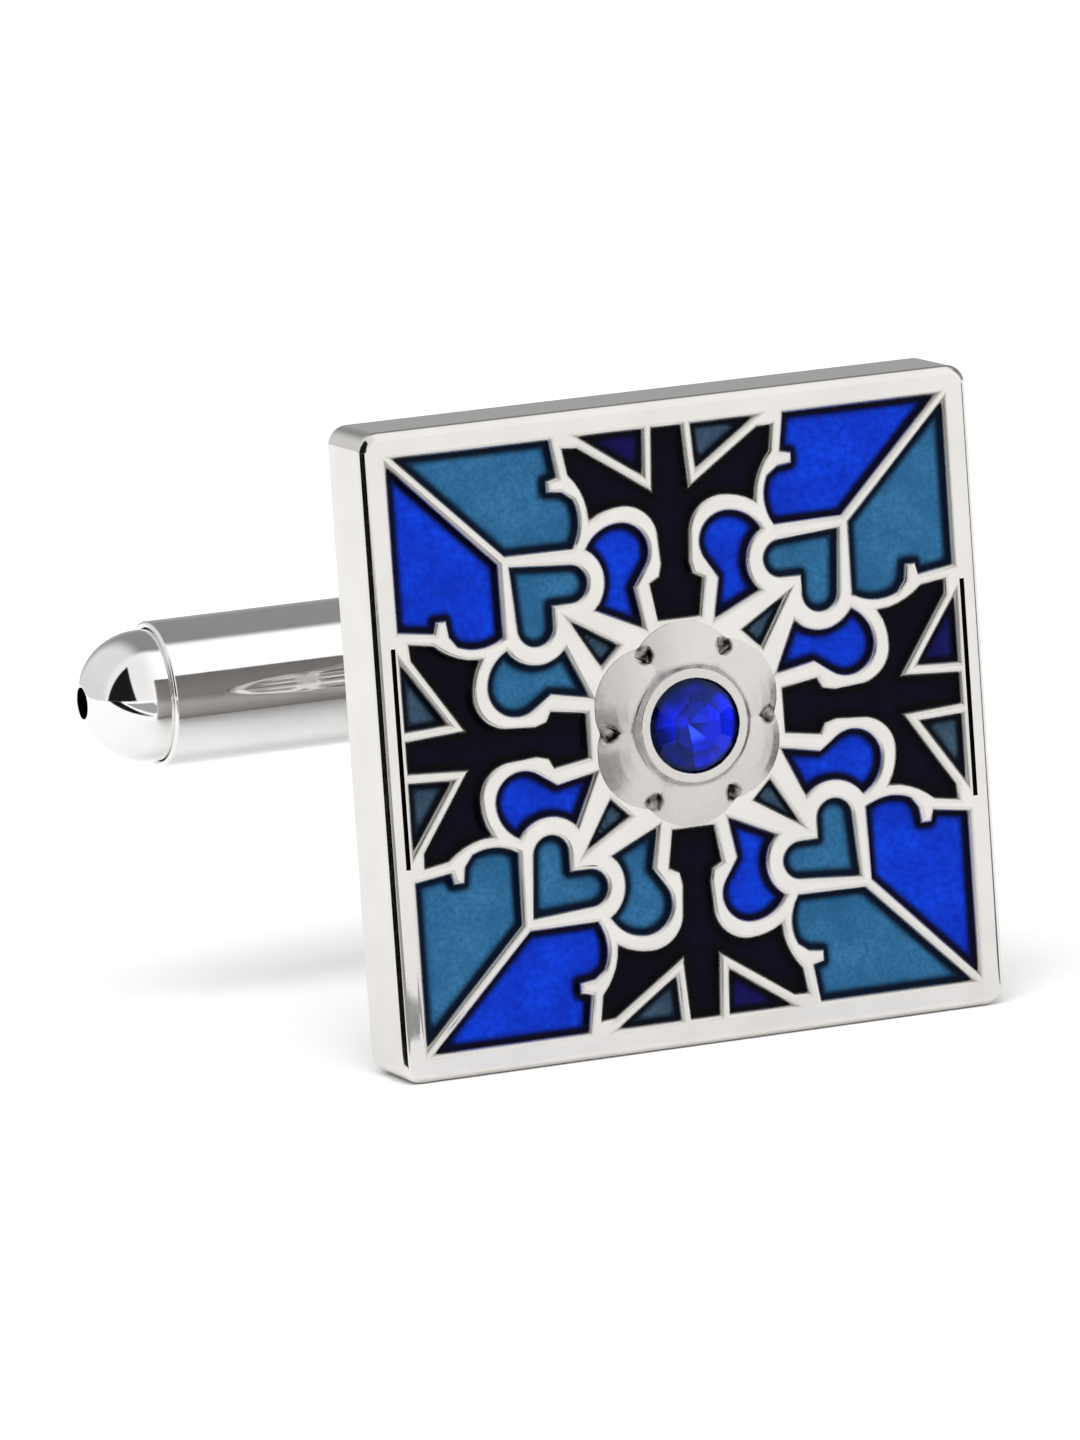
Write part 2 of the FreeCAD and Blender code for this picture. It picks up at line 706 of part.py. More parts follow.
doc.recompute()
for thing in doc.Objects:
    if "Invalid" in thing.State or "Error" in thing.State:
        raise RuntimeError(f"{thing.Label} did not recompute: {thing.State}")
for sub_part in sub_parts:
    shape = sub_part.Shape
    if shape.isNull() or not shape.isValid() or len(shape.Solids) != 1:
        raise RuntimeError(f"{sub_part.Label} is not one sound solid")

os.makedirs("parts", exist_ok=True)
for sub_part in sub_parts:
    sub_part.Shape.exportStep(f"parts/{sub_part.Label}.step")
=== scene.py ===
import json
import math

import bmesh
import bpy
import numpy
from mathutils import Matrix, Vector


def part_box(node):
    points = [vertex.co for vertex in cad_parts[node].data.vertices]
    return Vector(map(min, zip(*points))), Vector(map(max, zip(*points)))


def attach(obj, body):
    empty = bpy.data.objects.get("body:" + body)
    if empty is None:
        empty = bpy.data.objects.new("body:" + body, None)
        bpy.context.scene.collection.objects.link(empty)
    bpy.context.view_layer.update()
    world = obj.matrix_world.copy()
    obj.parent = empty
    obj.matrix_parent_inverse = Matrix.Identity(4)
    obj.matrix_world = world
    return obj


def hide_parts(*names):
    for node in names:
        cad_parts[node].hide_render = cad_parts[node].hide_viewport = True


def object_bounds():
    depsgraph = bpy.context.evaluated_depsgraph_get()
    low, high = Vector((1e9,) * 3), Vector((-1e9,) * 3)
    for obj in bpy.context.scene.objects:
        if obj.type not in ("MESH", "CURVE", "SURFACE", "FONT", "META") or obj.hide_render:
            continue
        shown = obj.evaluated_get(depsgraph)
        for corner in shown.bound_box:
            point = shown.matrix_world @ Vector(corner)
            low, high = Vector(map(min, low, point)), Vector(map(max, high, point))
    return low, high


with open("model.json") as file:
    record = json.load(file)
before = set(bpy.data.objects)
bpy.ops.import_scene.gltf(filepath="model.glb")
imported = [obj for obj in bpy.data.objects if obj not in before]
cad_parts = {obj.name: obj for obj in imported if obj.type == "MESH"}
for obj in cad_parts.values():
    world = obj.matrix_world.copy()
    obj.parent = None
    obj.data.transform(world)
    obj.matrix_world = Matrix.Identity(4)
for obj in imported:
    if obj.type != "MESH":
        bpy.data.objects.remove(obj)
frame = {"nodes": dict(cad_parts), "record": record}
cad_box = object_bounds()

# Face tray: a square die casting whose rim and thin cell walls end at one level, plated and polished by hand.
# Polishing has rounded every edge and is dullest where the buff can't reach: the walls' flanks and the back.
# These also get darker plate colours as painted shade.
# At both sides the arms of the pattern end in a thin wall, with a gap between it and the rim whose floor is
# painted near black as painted shade.
mm_per_metre = 1000.0
same_place = 2e-7
same_plane = 1e-8
flat_angle = 0.5
rounded_angle = 30


def joined_copy(node):
    """A solid's mesh with its loose triangles joined and its flat faces made whole."""
    shape = bmesh.new()
    shape.from_mesh(frame["nodes"][node].data)
    bmesh.ops.remove_doubles(shape, verts=shape.verts, dist=same_place)
    bmesh.ops.dissolve_limit(shape, angle_limit=math.radians(flat_angle),
                             verts=shape.verts, edges=shape.edges)
    return shape


def round_edges(shape, width, steps, wanted=lambda edge: True):
    """Rounds the wanted edges, apart from those that hardly turn."""
    sharp = [edge for edge in shape.edges if len(edge.link_faces) == 2
             and edge.calc_face_angle() > math.radians(rounded_angle) and wanted(edge)]
    bmesh.ops.bevel(shape, geom=sharp, offset=width, offset_type="OFFSET", affect="EDGES",
                    segments=steps, profile=0.5, material=-1, clamp_overlap=False)


def resize(shape, factor):
    """Makes a shape larger or smaller about the origin."""
    bmesh.ops.scale(shape, vec=(factor, factor, factor), verts=shape.verts)


def large_blank(shape, name):
    """A passing object that holds a shape in millimetres.

    In metres its lengths and areas are too small for the modifiers.
    """
    resize(shape, mm_per_metre)
    mesh = bpy.data.meshes.new(name)
    shape.to_mesh(mesh)
    shape.free()
    blank = bpy.data.objects.new(name, mesh)
    bpy.context.scene.collection.objects.link(blank)
    return blank


def throw_away(blank):
    """Removes a passing object and its mesh."""
    mesh = blank.data
    bpy.data.objects.remove(blank)
    bpy.data.meshes.remove(mesh)


def modified_mesh(blank):
    """The mesh that a passing object's modifiers make of it."""
    bpy.context.view_layer.update()
    mesh = bpy.data.meshes.new_from_object(blank.evaluated_get(bpy.context.evaluated_depsgraph_get()))
    throw_away(blank)
    return mesh


def finished_piece(shape, name, node, body, materials, sharp_angle=40):
    """Turns a shape into a piece that stands for one solid, smooth but for its sharp edges."""
    blank = large_blank(shape, "large_" + name)
    if blank.data.has_custom_normals:
        blank.data.attributes.remove(blank.data.attributes["custom_normal"])
    blank.data.shade_smooth()
    blank.data.set_sharp_from_angle(angle=math.radians(sharp_angle))
    even = blank.modifiers.new("even_shading", "WEIGHTED_NORMAL")
    even.keep_sharp = True
    mesh = modified_mesh(blank)
    mesh.transform(Matrix.Scale(1.0 / mm_per_metre, 4))
    mesh.name = name
    for material in materials:
        mesh.materials.append(material)
    piece = bpy.data.objects.new(name, mesh)
    bpy.context.scene.collection.objects.link(piece)
    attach(piece, body)
    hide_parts(node)


def new_material(name):
    """A new material with its node tree and its shader."""
    material = bpy.data.materials.new(name)
    material.use_nodes = True
    tree = material.node_tree
    return material, tree, tree.nodes["Principled BSDF"]


# Hand polish is shared by all the metal: faint cloudy patches in the gloss, and fine rubbing marks.
hand_polish = bpy.data.node_groups.new("hand_polish", "ShaderNodeTree")
polish_standards = {"Smoothest": 0.06, "Roughest": 0.16, "Patch Scale": 900.0, "Mark Scale": 5000.0}
for label, standard in polish_standards.items():
    socket = hand_polish.interface.new_socket(label, in_out="INPUT", socket_type="NodeSocketFloat")
    socket.default_value = standard
for label in ("Roughness", "Marks", "Clouds"):
    hand_polish.interface.new_socket(label, in_out="OUTPUT", socket_type="NodeSocketFloat")
polish_in = hand_polish.nodes.new("NodeGroupInput")
polish_out = hand_polish.nodes.new("NodeGroupOutput")
polish_place = hand_polish.nodes.new("ShaderNodeTexCoord")
polish_patches = hand_polish.nodes.new("ShaderNodeTexNoise")
polish_patches.inputs["Detail"].default_value = 3.0
polish_stretch = hand_polish.nodes.new("ShaderNodeMapping")
polish_stretch.inputs["Rotation"].default_value = (0.3, 0.5, 0.7)
polish_stretch.inputs["Scale"].default_value = (1.0, 0.12, 1.0)
polish_marks = hand_polish.nodes.new("ShaderNodeTexNoise")
polish_marks.inputs["Detail"].default_value = 4.0
polish_sum = hand_polish.nodes.new("ShaderNodeMath")
polish_sum.operation = "ADD"
polish_range = hand_polish.nodes.new("ShaderNodeMapRange")
polish_range.inputs["From Min"].default_value = 0.7
polish_range.inputs["From Max"].default_value = 1.3
polish_clouds = hand_polish.nodes.new("ShaderNodeMapRange")
polish_clouds.inputs["From Min"].default_value = 0.35
polish_clouds.inputs["From Max"].default_value = 0.65
hand_polish.links.new(polish_place.outputs["Object"], polish_patches.inputs["Vector"])
hand_polish.links.new(polish_place.outputs["Object"], polish_stretch.inputs["Vector"])
hand_polish.links.new(polish_stretch.outputs["Vector"], polish_marks.inputs["Vector"])
hand_polish.links.new(polish_in.outputs["Patch Scale"], polish_patches.inputs["Scale"])
hand_polish.links.new(polish_in.outputs["Mark Scale"], polish_marks.inputs["Scale"])
hand_polish.links.new(polish_patches.outputs["Fac"], polish_sum.inputs[0])
hand_polish.links.new(polish_marks.outputs["Fac"], polish_sum.inputs[1])
hand_polish.links.new(polish_sum.outputs["Value"], polish_range.inputs["Value"])
hand_polish.links.new(polish_in.outputs["Smoothest"], polish_range.inputs["To Min"])
hand_polish.links.new(polish_in.outputs["Roughest"], polish_range.inputs["To Max"])
hand_polish.links.new(polish_patches.outputs["Fac"], polish_clouds.inputs["Value"])
hand_polish.links.new(polish_range.outputs["Result"], polish_out.inputs["Roughness"])
hand_polish.links.new(polish_marks.outputs["Fac"], polish_out.inputs["Marks"])
hand_polish.links.new(polish_clouds.outputs["Result"], polish_out.inputs["Clouds"])
cloudy_share = 0.95


def plated_metal(name, tint, smoothest, roughest, mark_scale, mark_depth, painted_shade=None):
    """Bright plate: the hand polish drives its gloss and a shallow relief of rubbing marks.

    A painted shade colour darkens it, in patches, where the piece's hollow attribute says.
    """
    material, tree, shader = new_material(name)
    polish = tree.nodes.new("ShaderNodeGroup")
    polish.node_tree = hand_polish
    polish.inputs["Smoothest"].default_value = smoothest
    polish.inputs["Roughest"].default_value = roughest
    polish.inputs["Mark Scale"].default_value = mark_scale
    relief = tree.nodes.new("ShaderNodeBump")
    relief.inputs["Strength"].default_value = 0.4
    relief.inputs["Distance"].default_value = mark_depth
    clouded = tree.nodes.new("ShaderNodeMix")
    clouded.data_type = "RGBA"
    clouded.inputs["A"].default_value = (*[share * cloudy_share for share in tint], 1.0)
    clouded.inputs["B"].default_value = (*tint, 1.0)
    shader.inputs["Metallic"].default_value = 1.0
    tree.links.new(polish.outputs["Clouds"], clouded.inputs["Factor"])
    tree.links.new(clouded.outputs["Result"], shader.inputs["Base Color"])
    tree.links.new(polish.outputs["Roughness"], shader.inputs["Roughness"])
    tree.links.new(polish.outputs["Marks"], relief.inputs["Height"])
    tree.links.new(relief.outputs["Normal"], shader.inputs["Normal"])
    # Painted shade: the colour is darkened in patches where the hollow attribute is set.
    if painted_shade:
        hollow_place = tree.nodes.new("ShaderNodeAttribute")
        hollow_place.attribute_name = "hollow"
        place = tree.nodes.new("ShaderNodeTexCoord")
        patches = tree.nodes.new("ShaderNodeTexNoise")
        patches.inputs["Scale"].default_value = 3500.0
        uneven = tree.nodes.new("ShaderNodeMapRange")
        uneven.inputs["From Min"].default_value = 0.35
        uneven.inputs["From Max"].default_value = 0.6
        uneven.inputs["To Min"].default_value = 0.45
        spread = tree.nodes.new("ShaderNodeMath")
        spread.operation = "MULTIPLY"
        painted_shading = tree.nodes.new("ShaderNodeMix")
        painted_shading.data_type = "RGBA"
        painted_shading.inputs["B"].default_value = (*painted_shade, 1.0)
        tree.links.new(place.outputs["Object"], patches.inputs["Vector"])
        tree.links.new(patches.outputs["Fac"], uneven.inputs["Value"])
        tree.links.new(hollow_place.outputs["Fac"], spread.inputs[0])
        tree.links.new(uneven.outputs["Result"], spread.inputs[1])
        tree.links.new(spread.outputs["Value"], painted_shading.inputs["Factor"])
        tree.links.new(clouded.outputs["Result"], painted_shading.inputs["A"])
        tree.links.new(painted_shading.outputs["Result"], shader.inputs["Base Color"])
    return material


cast_plate = plated_metal("cast_plate", tint=(0.71, 0.69, 0.665), smoothest=0.05, roughest=0.12,
                          mark_scale=6000.0, mark_depth=1e-6)
# The flanks' and the back's plates are darker than the front's as painted shade, beside their real duller
# satin.
cast_flank = plated_metal("cast_flank", tint=(0.66, 0.64, 0.61), smoothest=0.26, roughest=0.38,
                          mark_scale=6000.0, mark_depth=1e-6)
cast_back = plated_metal("cast_back", tint=(0.5, 0.48, 0.47), smoothest=0.3, roughest=0.42,
                         mark_scale=2500.0, mark_depth=4e-6)
# Near-black plate for the gaps' floors: painted shade.
gap_dirt = plated_metal("gap_dirt", tint=(0.02, 0.018, 0.016), smoothest=0.4, roughest=0.5,
                        mark_scale=6000.0, mark_depth=1e-6)
tray_finishes = [cast_plate, cast_back, cast_flank, gap_dirt]
tray_low, tray_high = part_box("face_tray")
enamel_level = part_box("enamel_top_tree")[0].y
back_slack = 1e-6
outer_band = 0.0003
back_level = tray_high.y - back_slack
rim_inside = tray_high.x - outer_band
edge_steps = 3
outer_round = 0.00005
wall_steps = 6
wall_round = 0.00013
flat_forward = -0.99
nearly_back = 0.9


def on_outside(edge):
    """Whether an edge lies on the tray's outside or its back."""
    return all(vert.co.y > back_level or max(abs(vert.co.x), abs(vert.co.z)) > rim_inside
               for vert in edge.verts)


def on_wall(edge):
    """Whether an edge lies along the top of a wall, clear of the enamel."""
    return not on_outside(edge) and all(vert.co.y < enamel_level - wall_round / 2 for vert in edge.verts)


def looks_forward(face):
    """Whether a face lies flat towards the front."""
    return face.normal.y < flat_forward


def looks_back(face):
    """Whether a face lies nearly flat towards the back."""
    return face.normal.y > nearly_back


tray = joined_copy("face_tray")
round_edges(tray, outer_round, edge_steps, wanted=on_outside)
round_edges(tray, wall_round, wall_steps, wanted=on_wall)
tray.normal_update()
# Faces at the back and on the walls' flanks get the darker plates: real duller satin, and painted shade.
for face in tray.faces:
    middle = face.calc_center_median()
    inside_rim = max(abs(middle.x), abs(middle.z)) < rim_inside
    if looks_back(face) and middle.y > tray_low.y / 4:
        face.material_index = tray_finishes.index(cast_back)
    elif not looks_forward(face) and middle.y < enamel_level and inside_rim:
        face.material_index = tray_finishes.index(cast_flank)

# The gaps are cut into the flat front of the rim, beside the outer ends of the left and right arms.
closing_wall = 0.00015
gap_width = 0.00012
gap_depth = 0.0002
arm_low, arm_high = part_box("enamel_right_tree")
gap_inside = arm_high.x + closing_wall
gap_outside = gap_inside + gap_width


def in_gap_strip(face, half_length):
    """Whether a flat front face lies in a gap's width, within a height above or below the middle."""
    middle = face.calc_center_median()
    return looks_forward(face) and gap_inside < abs(middle.x) < gap_outside and abs(middle.z) < half_length


def crosses(face, side, reach):
    """Whether a flat front face runs across a line up the left or right side of the tray."""
    places = [side * vert.co.x for vert in face.verts]
    return looks_forward(face) and min(places) < reach < max(places)


def cut_faces(shape, faces, place, way):
    """Cuts some faces of a shape along a plane."""
    edges = dict.fromkeys(edge for face in faces for edge in face.edges)
    corners = dict.fromkeys(vert for face in faces for vert in face.verts)
    bmesh.ops.bisect_plane(shape, geom=[*faces, *edges, *corners], dist=same_plane,
                           plane_co=place, plane_no=way)


for side in (-1.0, 1.0):
    for reach in (gap_inside, gap_outside):
        crossed = [face for face in tray.faces if crosses(face, side, reach)]
        cut_faces(tray, crossed, (side * reach, 0.0, 0.0), (side, 0.0, 0.0))
for height in (arm_low.z, arm_high.z):
    strips = [face for face in tray.faces if in_gap_strip(face, tray_high.z)]
    cut_faces(tray, strips, (0.0, 0.0, height), (0.0, 0.0, 1.0))
gap_lids = [face for face in tray.faces if in_gap_strip(face, arm_high.z)]
gap_shape = bmesh.ops.extrude_face_region(tray, geom=gap_lids)["geom"]
gap_floor = [vert for vert in gap_shape if isinstance(vert, bmesh.types.BMVert)]
bmesh.ops.translate(tray, vec=(0.0, gap_depth, 0.0), verts=gap_floor)
bmesh.ops.delete(tray, geom=gap_lids, context="FACES")
# The gap's floor is painted near black, as painted shade.
for vert in gap_floor:
    for face in vert.link_faces:
        face.material_index = tray_finishes.index(gap_dirt)
tray.normal_update()
finished_piece(tray, "face_plate", "face_tray", "face", tray_finishes)

# Enamel: each cell is filled with coloured glass, a little lower than the walls, and fired.
# The glass creeps up the walls it touches, and along them its colour is painted darker as painted shade of
# the walls.
wall_shade_reach = 0.00028
wall_shade_share = 0.65
creep_reach = 0.00018
creep_rise = 0.00006
pour_step = 0.00012
same_level = 1e-7


def poured_fill(node):
    """A cell's glass with a finely cut upper side that creeps up the walls."""
    fill = joined_copy(node)
    low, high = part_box(node)
    level = low.y + same_level
    outline = [edge for edge in fill.edges if all(vert.co.y < level for vert in edge.verts)]
    starts = numpy.array([edge.verts[0].co for edge in outline])
    runs = numpy.array([edge.verts[1].co for edge in outline]) - starts
    lengths = (runs ** 2).sum(axis=1)
    for axis, way in ((0, Vector((1.0, 0.0, 0.0))), (2, Vector((0.0, 0.0, 1.0)))):
        for number in range(1, math.ceil((high[axis] - low[axis]) / pour_step)):
            top = [face for face in fill.faces if all(vert.co.y < level for vert in face.verts)]
            cut_faces(fill, top, low + way * (number * pour_step), way)
    from_wall = fill.verts.layers.float.new("from_wall")
    gaps = {}
    for vert in fill.verts:
        if vert.co.y < level:
            offsets = numpy.array(vert.co) - starts
            shares = numpy.clip((offsets * runs).sum(axis=1) / lengths, 0.0, 1.0)
            gaps[vert] = math.sqrt(((offsets - shares[:, None] * runs) ** 2).sum(axis=1).min())
    # from_wall runs from 0 at the walls to 1 inside, where the painted wall shade has faded out.
    wall_shade_edge = min(wall_shade_reach, wall_shade_share * max(gaps.values()))
    for vert, gap in gaps.items():
        vert[from_wall] = min(1.0, gap / wall_shade_edge)
        vert.co.y -= creep_rise * max(0.0, 1.0 - gap / creep_reach) ** 2
    return fill


def fired_enamel(name, wall_shade, body, bright, grain_scale, gloss):
    """Glassy enamel: painted shade along the walls, clouded and finely grained in the middle."""
    material, tree, shader = new_material(name)
    place = tree.nodes.new("ShaderNodeTexCoord")
    clouds = tree.nodes.new("ShaderNodeTexNoise")
    clouds.inputs["Scale"].default_value = 900.0
    clouds.inputs["Detail"].default_value = 2.0
    grain = tree.nodes.new("ShaderNodeTexNoise")
    grain.inputs["Scale"].default_value = grain_scale
    grain.inputs["Detail"].default_value = 3.0
    flow = tree.nodes.new("ShaderNodeMath")
    flow.operation = "MULTIPLY"
    shades = tree.nodes.new("ShaderNodeValToRGB")
    shades.color_ramp.elements[0].position = 0.14
    shades.color_ramp.elements[0].color = (*body, 1.0)
    shades.color_ramp.elements[1].position = 0.42
    shades.color_ramp.elements[1].color = (*bright, 1.0)
    rim = tree.nodes.new("ShaderNodeAttribute")
    rim.attribute_name = "from_wall"
    fade = tree.nodes.new("ShaderNodeMapRange")
    fade.interpolation_type = "SMOOTHSTEP"
    fade.inputs["From Min"].default_value = 0.3
    fade.inputs["From Max"].default_value = 1.0
    wall_shade_mix = tree.nodes.new("ShaderNodeMix")
    wall_shade_mix.data_type = "RGBA"
    wall_shade_mix.inputs["A"].default_value = (*wall_shade, 1.0)
    shader.inputs["Roughness"].default_value = gloss
    shader.inputs["Specular IOR Level"].default_value = 0.05
    tree.links.new(place.outputs["Object"], clouds.inputs["Vector"])
    tree.links.new(place.outputs["Object"], grain.inputs["Vector"])
    tree.links.new(clouds.outputs["Fac"], flow.inputs[0])
    tree.links.new(grain.outputs["Fac"], flow.inputs[1])
    tree.links.new(flow.outputs["Value"], shades.inputs["Fac"])
    tree.links.new(rim.outputs["Fac"], fade.inputs["Value"])
    tree.links.new(fade.outputs["Result"], wall_shade_mix.inputs["Factor"])
    tree.links.new(shades.outputs["Color"], wall_shade_mix.inputs["B"])
    tree.links.new(wall_shade_mix.outputs["Result"], shader.inputs["Base Color"])
    return material


enamels = {
    "enamel_royal": fired_enamel("royal_enamel", wall_shade=(0.0, 0.0, 0.008), body=(0.0012, 0.02, 0.36),
                                 bright=(0.0025, 0.042, 0.56), grain_scale=6000.0, gloss=0.15),
    "enamel_steel": fired_enamel("steel_enamel", wall_shade=(0.0, 0.003, 0.012), body=(0.014, 0.085, 0.19),
                                 bright=(0.03, 0.135, 0.28), grain_scale=9000.0, gloss=0.2),
    "enamel_navy": fired_enamel("navy_enamel", wall_shade=(0.0, 0.0, 0.001), body=(0.0005, 0.0005, 0.004),
                                bright=(0.0015, 0.0015, 0.009), grain_scale=6000.0, gloss=0.15),
    "enamel_indigo": fired_enamel("indigo_enamel", wall_shade=(0.0, 0.0, 0.003), body=(0.003, 0.002, 0.045),
                                  bright=(0.006, 0.006, 0.08), grain_scale=6000.0, gloss=0.15),
    "enamel_slate": fired_enamel("slate_enamel", wall_shade=(0.0, 0.001, 0.004), body=(0.022, 0.045, 0.075),
                                 bright=(0.04, 0.075, 0.12), grain_scale=9000.0, gloss=0.2),
}
for sub_part in frame["record"]["subparts"]:
    node, slot = sub_part["node"], sub_part["material_slot"]
    if slot in enamels:
        name = node.replace("enamel_", "fill_")
        finished_piece(poured_fill(node), name, node, "face", [enamels[slot]])

# Crystal setting: a small cast flower of six lobes round a bezel, dressed by hand and pressed into the tray.
# Its creases are soft, so the solid is rebuilt as a fine even skin, in millimetres, and smoothed a little.
# Painted shade darkens the seat, the pits at the ends of the creases and, thinner, the creases themselves.
skin_step = 0.028
evening_steps = 30
seat_from = 0.8
seat_fade = 0.25
seat_to = 1.18
lobes = 6
pit_turns = numpy.radians(numpy.arange(lobes) * 360.0 / lobes)
pit_circle = 2.1
pit_reach = 0.27
pit_fade = 0.08
crease_depth = 0.006
crease_fade = 0.022
bezel_reach = 1.75
bezel_crease_shade = 0.35
lobe_crease_shade = 0.8
skin = large_blank(joined_copy("crystal_setting"), "setting_skin")
rebuild = skin.modifiers.new("rebuild", "REMESH")
rebuild.mode = "VOXEL"
rebuild.voxel_size = skin_step
soften = skin.modifiers.new("soften", "SMOOTH")
soften.factor = 0.5
soften.iterations = 2
flower_mesh = modified_mesh(skin)
count = len(flower_mesh.vertices)
places = numpy.empty(count * 3, numpy.float32)
flower_mesh.vertices.foreach_get("co", places)
places = places.reshape(-1, 3)
ways = numpy.empty(count * 3, numpy.float32)
flower_mesh.vertices.foreach_get("normal", ways)
links = numpy.empty(len(flower_mesh.edges) * 2, numpy.int32)
flower_mesh.edges.foreach_get("vertices", links)
firsts, seconds = links.reshape(-1, 2).T
neighbours = numpy.bincount(links, minlength=count)[:, None]
evened = places.astype(float)
for step in range(evening_steps):
    total = numpy.zeros_like(evened)
    numpy.add.at(total, firsts, evened[seconds])
    numpy.add.at(total, seconds, evened[firsts])
    evened = total / neighbours
sunk = ((evened - places) * ways.reshape(-1, 3)).sum(axis=1)
from_axis = numpy.hypot(places[:, 0], places[:, 2])
from_pits = numpy.hypot(places[:, :1] - pit_circle * numpy.cos(pit_turns),
                        places[:, 2:] - pit_circle * numpy.sin(pit_turns)).min(axis=1)
# The seat, pit and crease shades are painted shade, darkening the setting's colour.
seat_shade = numpy.where(from_axis < seat_to, numpy.clip((from_axis - seat_from) / seat_fade, 0.0, 1.0), 0.0)
pit_shade = numpy.clip((pit_reach - from_pits) / pit_fade, 0.0, 1.0)
crease_shade = numpy.clip((sunk - crease_depth) / crease_fade, 0.0, 1.0)
crease_shade = crease_shade * numpy.where(from_axis < bezel_reach, bezel_crease_shade, lobe_crease_shade)
hollow = numpy.maximum(numpy.maximum(crease_shade, pit_shade), seat_shade).astype(numpy.float32)
flower_mesh.attributes.new("hollow", "FLOAT", "POINT").data.foreach_set("value", hollow)
flower = bmesh.new()
flower.from_mesh(flower_mesh)
resize(flower, 1.0 / mm_per_metre)
flower_plate = plated_metal("flower_plate", tint=(0.6, 0.58, 0.555), smoothest=0.2, roughest=0.34,
                            mark_scale=6000.0, mark_depth=3e-6, painted_shade=(0.012, 0.01, 0.008))
finished_piece(flower, "flower_setting", "crystal_setting", "face", [flower_plate])

# Crystal: a round faceted stone, deep blue, held by the bezel over the bright cone of its seat.
# Its back is foiled, so that the flat facets send the light back. Its colour is painted near black towards
# its edge, as painted shade.
edge_shade_from = 0.00096
edge_shade_to = 0.00106
backward_least = 0.1
facet_angle = 1


def grained_colour(tree, scale, first, last):
    """A colour that wavers between two shades."""
    place = tree.nodes.new("ShaderNodeTexCoord")
    grain = tree.nodes.new("ShaderNodeTexNoise")
    grain.inputs["Scale"].default_value = scale
    shades = tree.nodes.new("ShaderNodeValToRGB")
    shades.color_ramp.elements[0].color = (*first, 1.0)
    shades.color_ramp.elements[1].color = (*last, 1.0)
    tree.links.new(place.outputs["Object"], grain.inputs["Vector"])
    tree.links.new(grain.outputs["Fac"], shades.inputs["Fac"])
    return shades.outputs["Color"]


blue_glass, glass_tree, glass_shader = new_material("blue_glass")
glass_colour = grained_colour(glass_tree, 1500.0, (0.02, 0.05, 0.75), (0.05, 0.1, 0.95))
glass_place = glass_tree.nodes.new("ShaderNodeTexCoord")
glass_flat = glass_tree.nodes.new("ShaderNodeMapping")
glass_flat.inputs["Scale"].default_value = (1.0, 0.0, 1.0)
glass_reach = glass_tree.nodes.new("ShaderNodeVectorMath")
glass_reach.operation = "LENGTH"
# Towards the stone's edge its colour is painted near black, as painted shade.
glass_edge_shade = glass_tree.nodes.new("ShaderNodeMapRange")
glass_edge_shade.interpolation_type = "SMOOTHSTEP"
glass_edge_shade.inputs["From Min"].default_value = edge_shade_from
glass_edge_shade.inputs["From Max"].default_value = edge_shade_to
glass_mix = glass_tree.nodes.new("ShaderNodeMix")
glass_mix.data_type = "RGBA"
glass_mix.inputs["B"].default_value = (0.001, 0.001, 0.01, 1.0)
glass_shader.inputs["Roughness"].default_value = 0.0
glass_shader.inputs["IOR"].default_value = 1.5
glass_shader.inputs["Specular Tint"].default_value = (0.3, 0.45, 0.85, 1.0)
glass_shader.inputs["Transmission Weight"].default_value = 1.0
glass_tree.links.new(glass_place.outputs["Object"], glass_flat.inputs["Vector"])
glass_tree.links.new(glass_flat.outputs["Vector"], glass_reach.inputs[0])
glass_tree.links.new(glass_reach.outputs["Value"], glass_edge_shade.inputs["Value"])
glass_tree.links.new(glass_edge_shade.outputs["Result"], glass_mix.inputs["Factor"])
glass_tree.links.new(glass_colour, glass_mix.inputs["A"])
glass_tree.links.new(glass_mix.outputs["Result"], glass_shader.inputs["Base Color"])
foil = plated_metal("foil", tint=(0.3, 0.42, 1.0), smoothest=0.18, roughest=0.3,
                    mark_scale=3000.0, mark_depth=5e-7)
stone_finishes = [blue_glass, foil]
facets = joined_copy("crystal")
facets.normal_update()
for face in facets.faces:
    if face.normal.y > backward_least:
        face.material_index = stone_finishes.index(foil)
finished_piece(facets, "stone", "crystal", "face", stone_finishes, sharp_angle=facet_angle)

# Post: a turned foot soldered into the tray's back, a strip bent into a fork, and the pin riveted through it.
# All three are plated with the toggle and polished to a mirror, with their edges broken.
mirror_plate = plated_metal("mirror_plate", tint=(0.86, 0.85, 0.84), smoothest=0.03, roughest=0.08,
                            mark_scale=3000.0, mark_depth=5e-7)
foot_round = 0.00012
fork_round = 0.0001
pin_round = 0.00005
for node, name, width in (("post_foot", "foot", foot_round), ("post_fork", "fork", fork_round),
                          ("pivot_pin", "pin", pin_round)):
    shape = joined_copy(node)
    round_edges(shape, width, edge_steps)
    finished_piece(shape, name, node, "face", [mirror_plate])

# Toggle: a thin drawn tube with rolled ends that swivels on the pin through a hole across its middle.
# A turned plug with a ball-shaped end is pressed into each mouth, with a small turning hole in its top.
# A bowed spring lies inside, out of sight.
tube_low, tube_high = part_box("toggle_tube")
tube_middle = (tube_low + tube_high) / 2
tube_radius = (tube_high.z - tube_low.z) / 2
tube_half = (tube_high.x - tube_low.x) / 2
tube_wall = 0.00018
lip = 0.00009
lip_steps = 10
turn_steps = 144
cross_hole_radius = 0.00064
drill_length = 0.006
drill_steps = 48
outward = 90


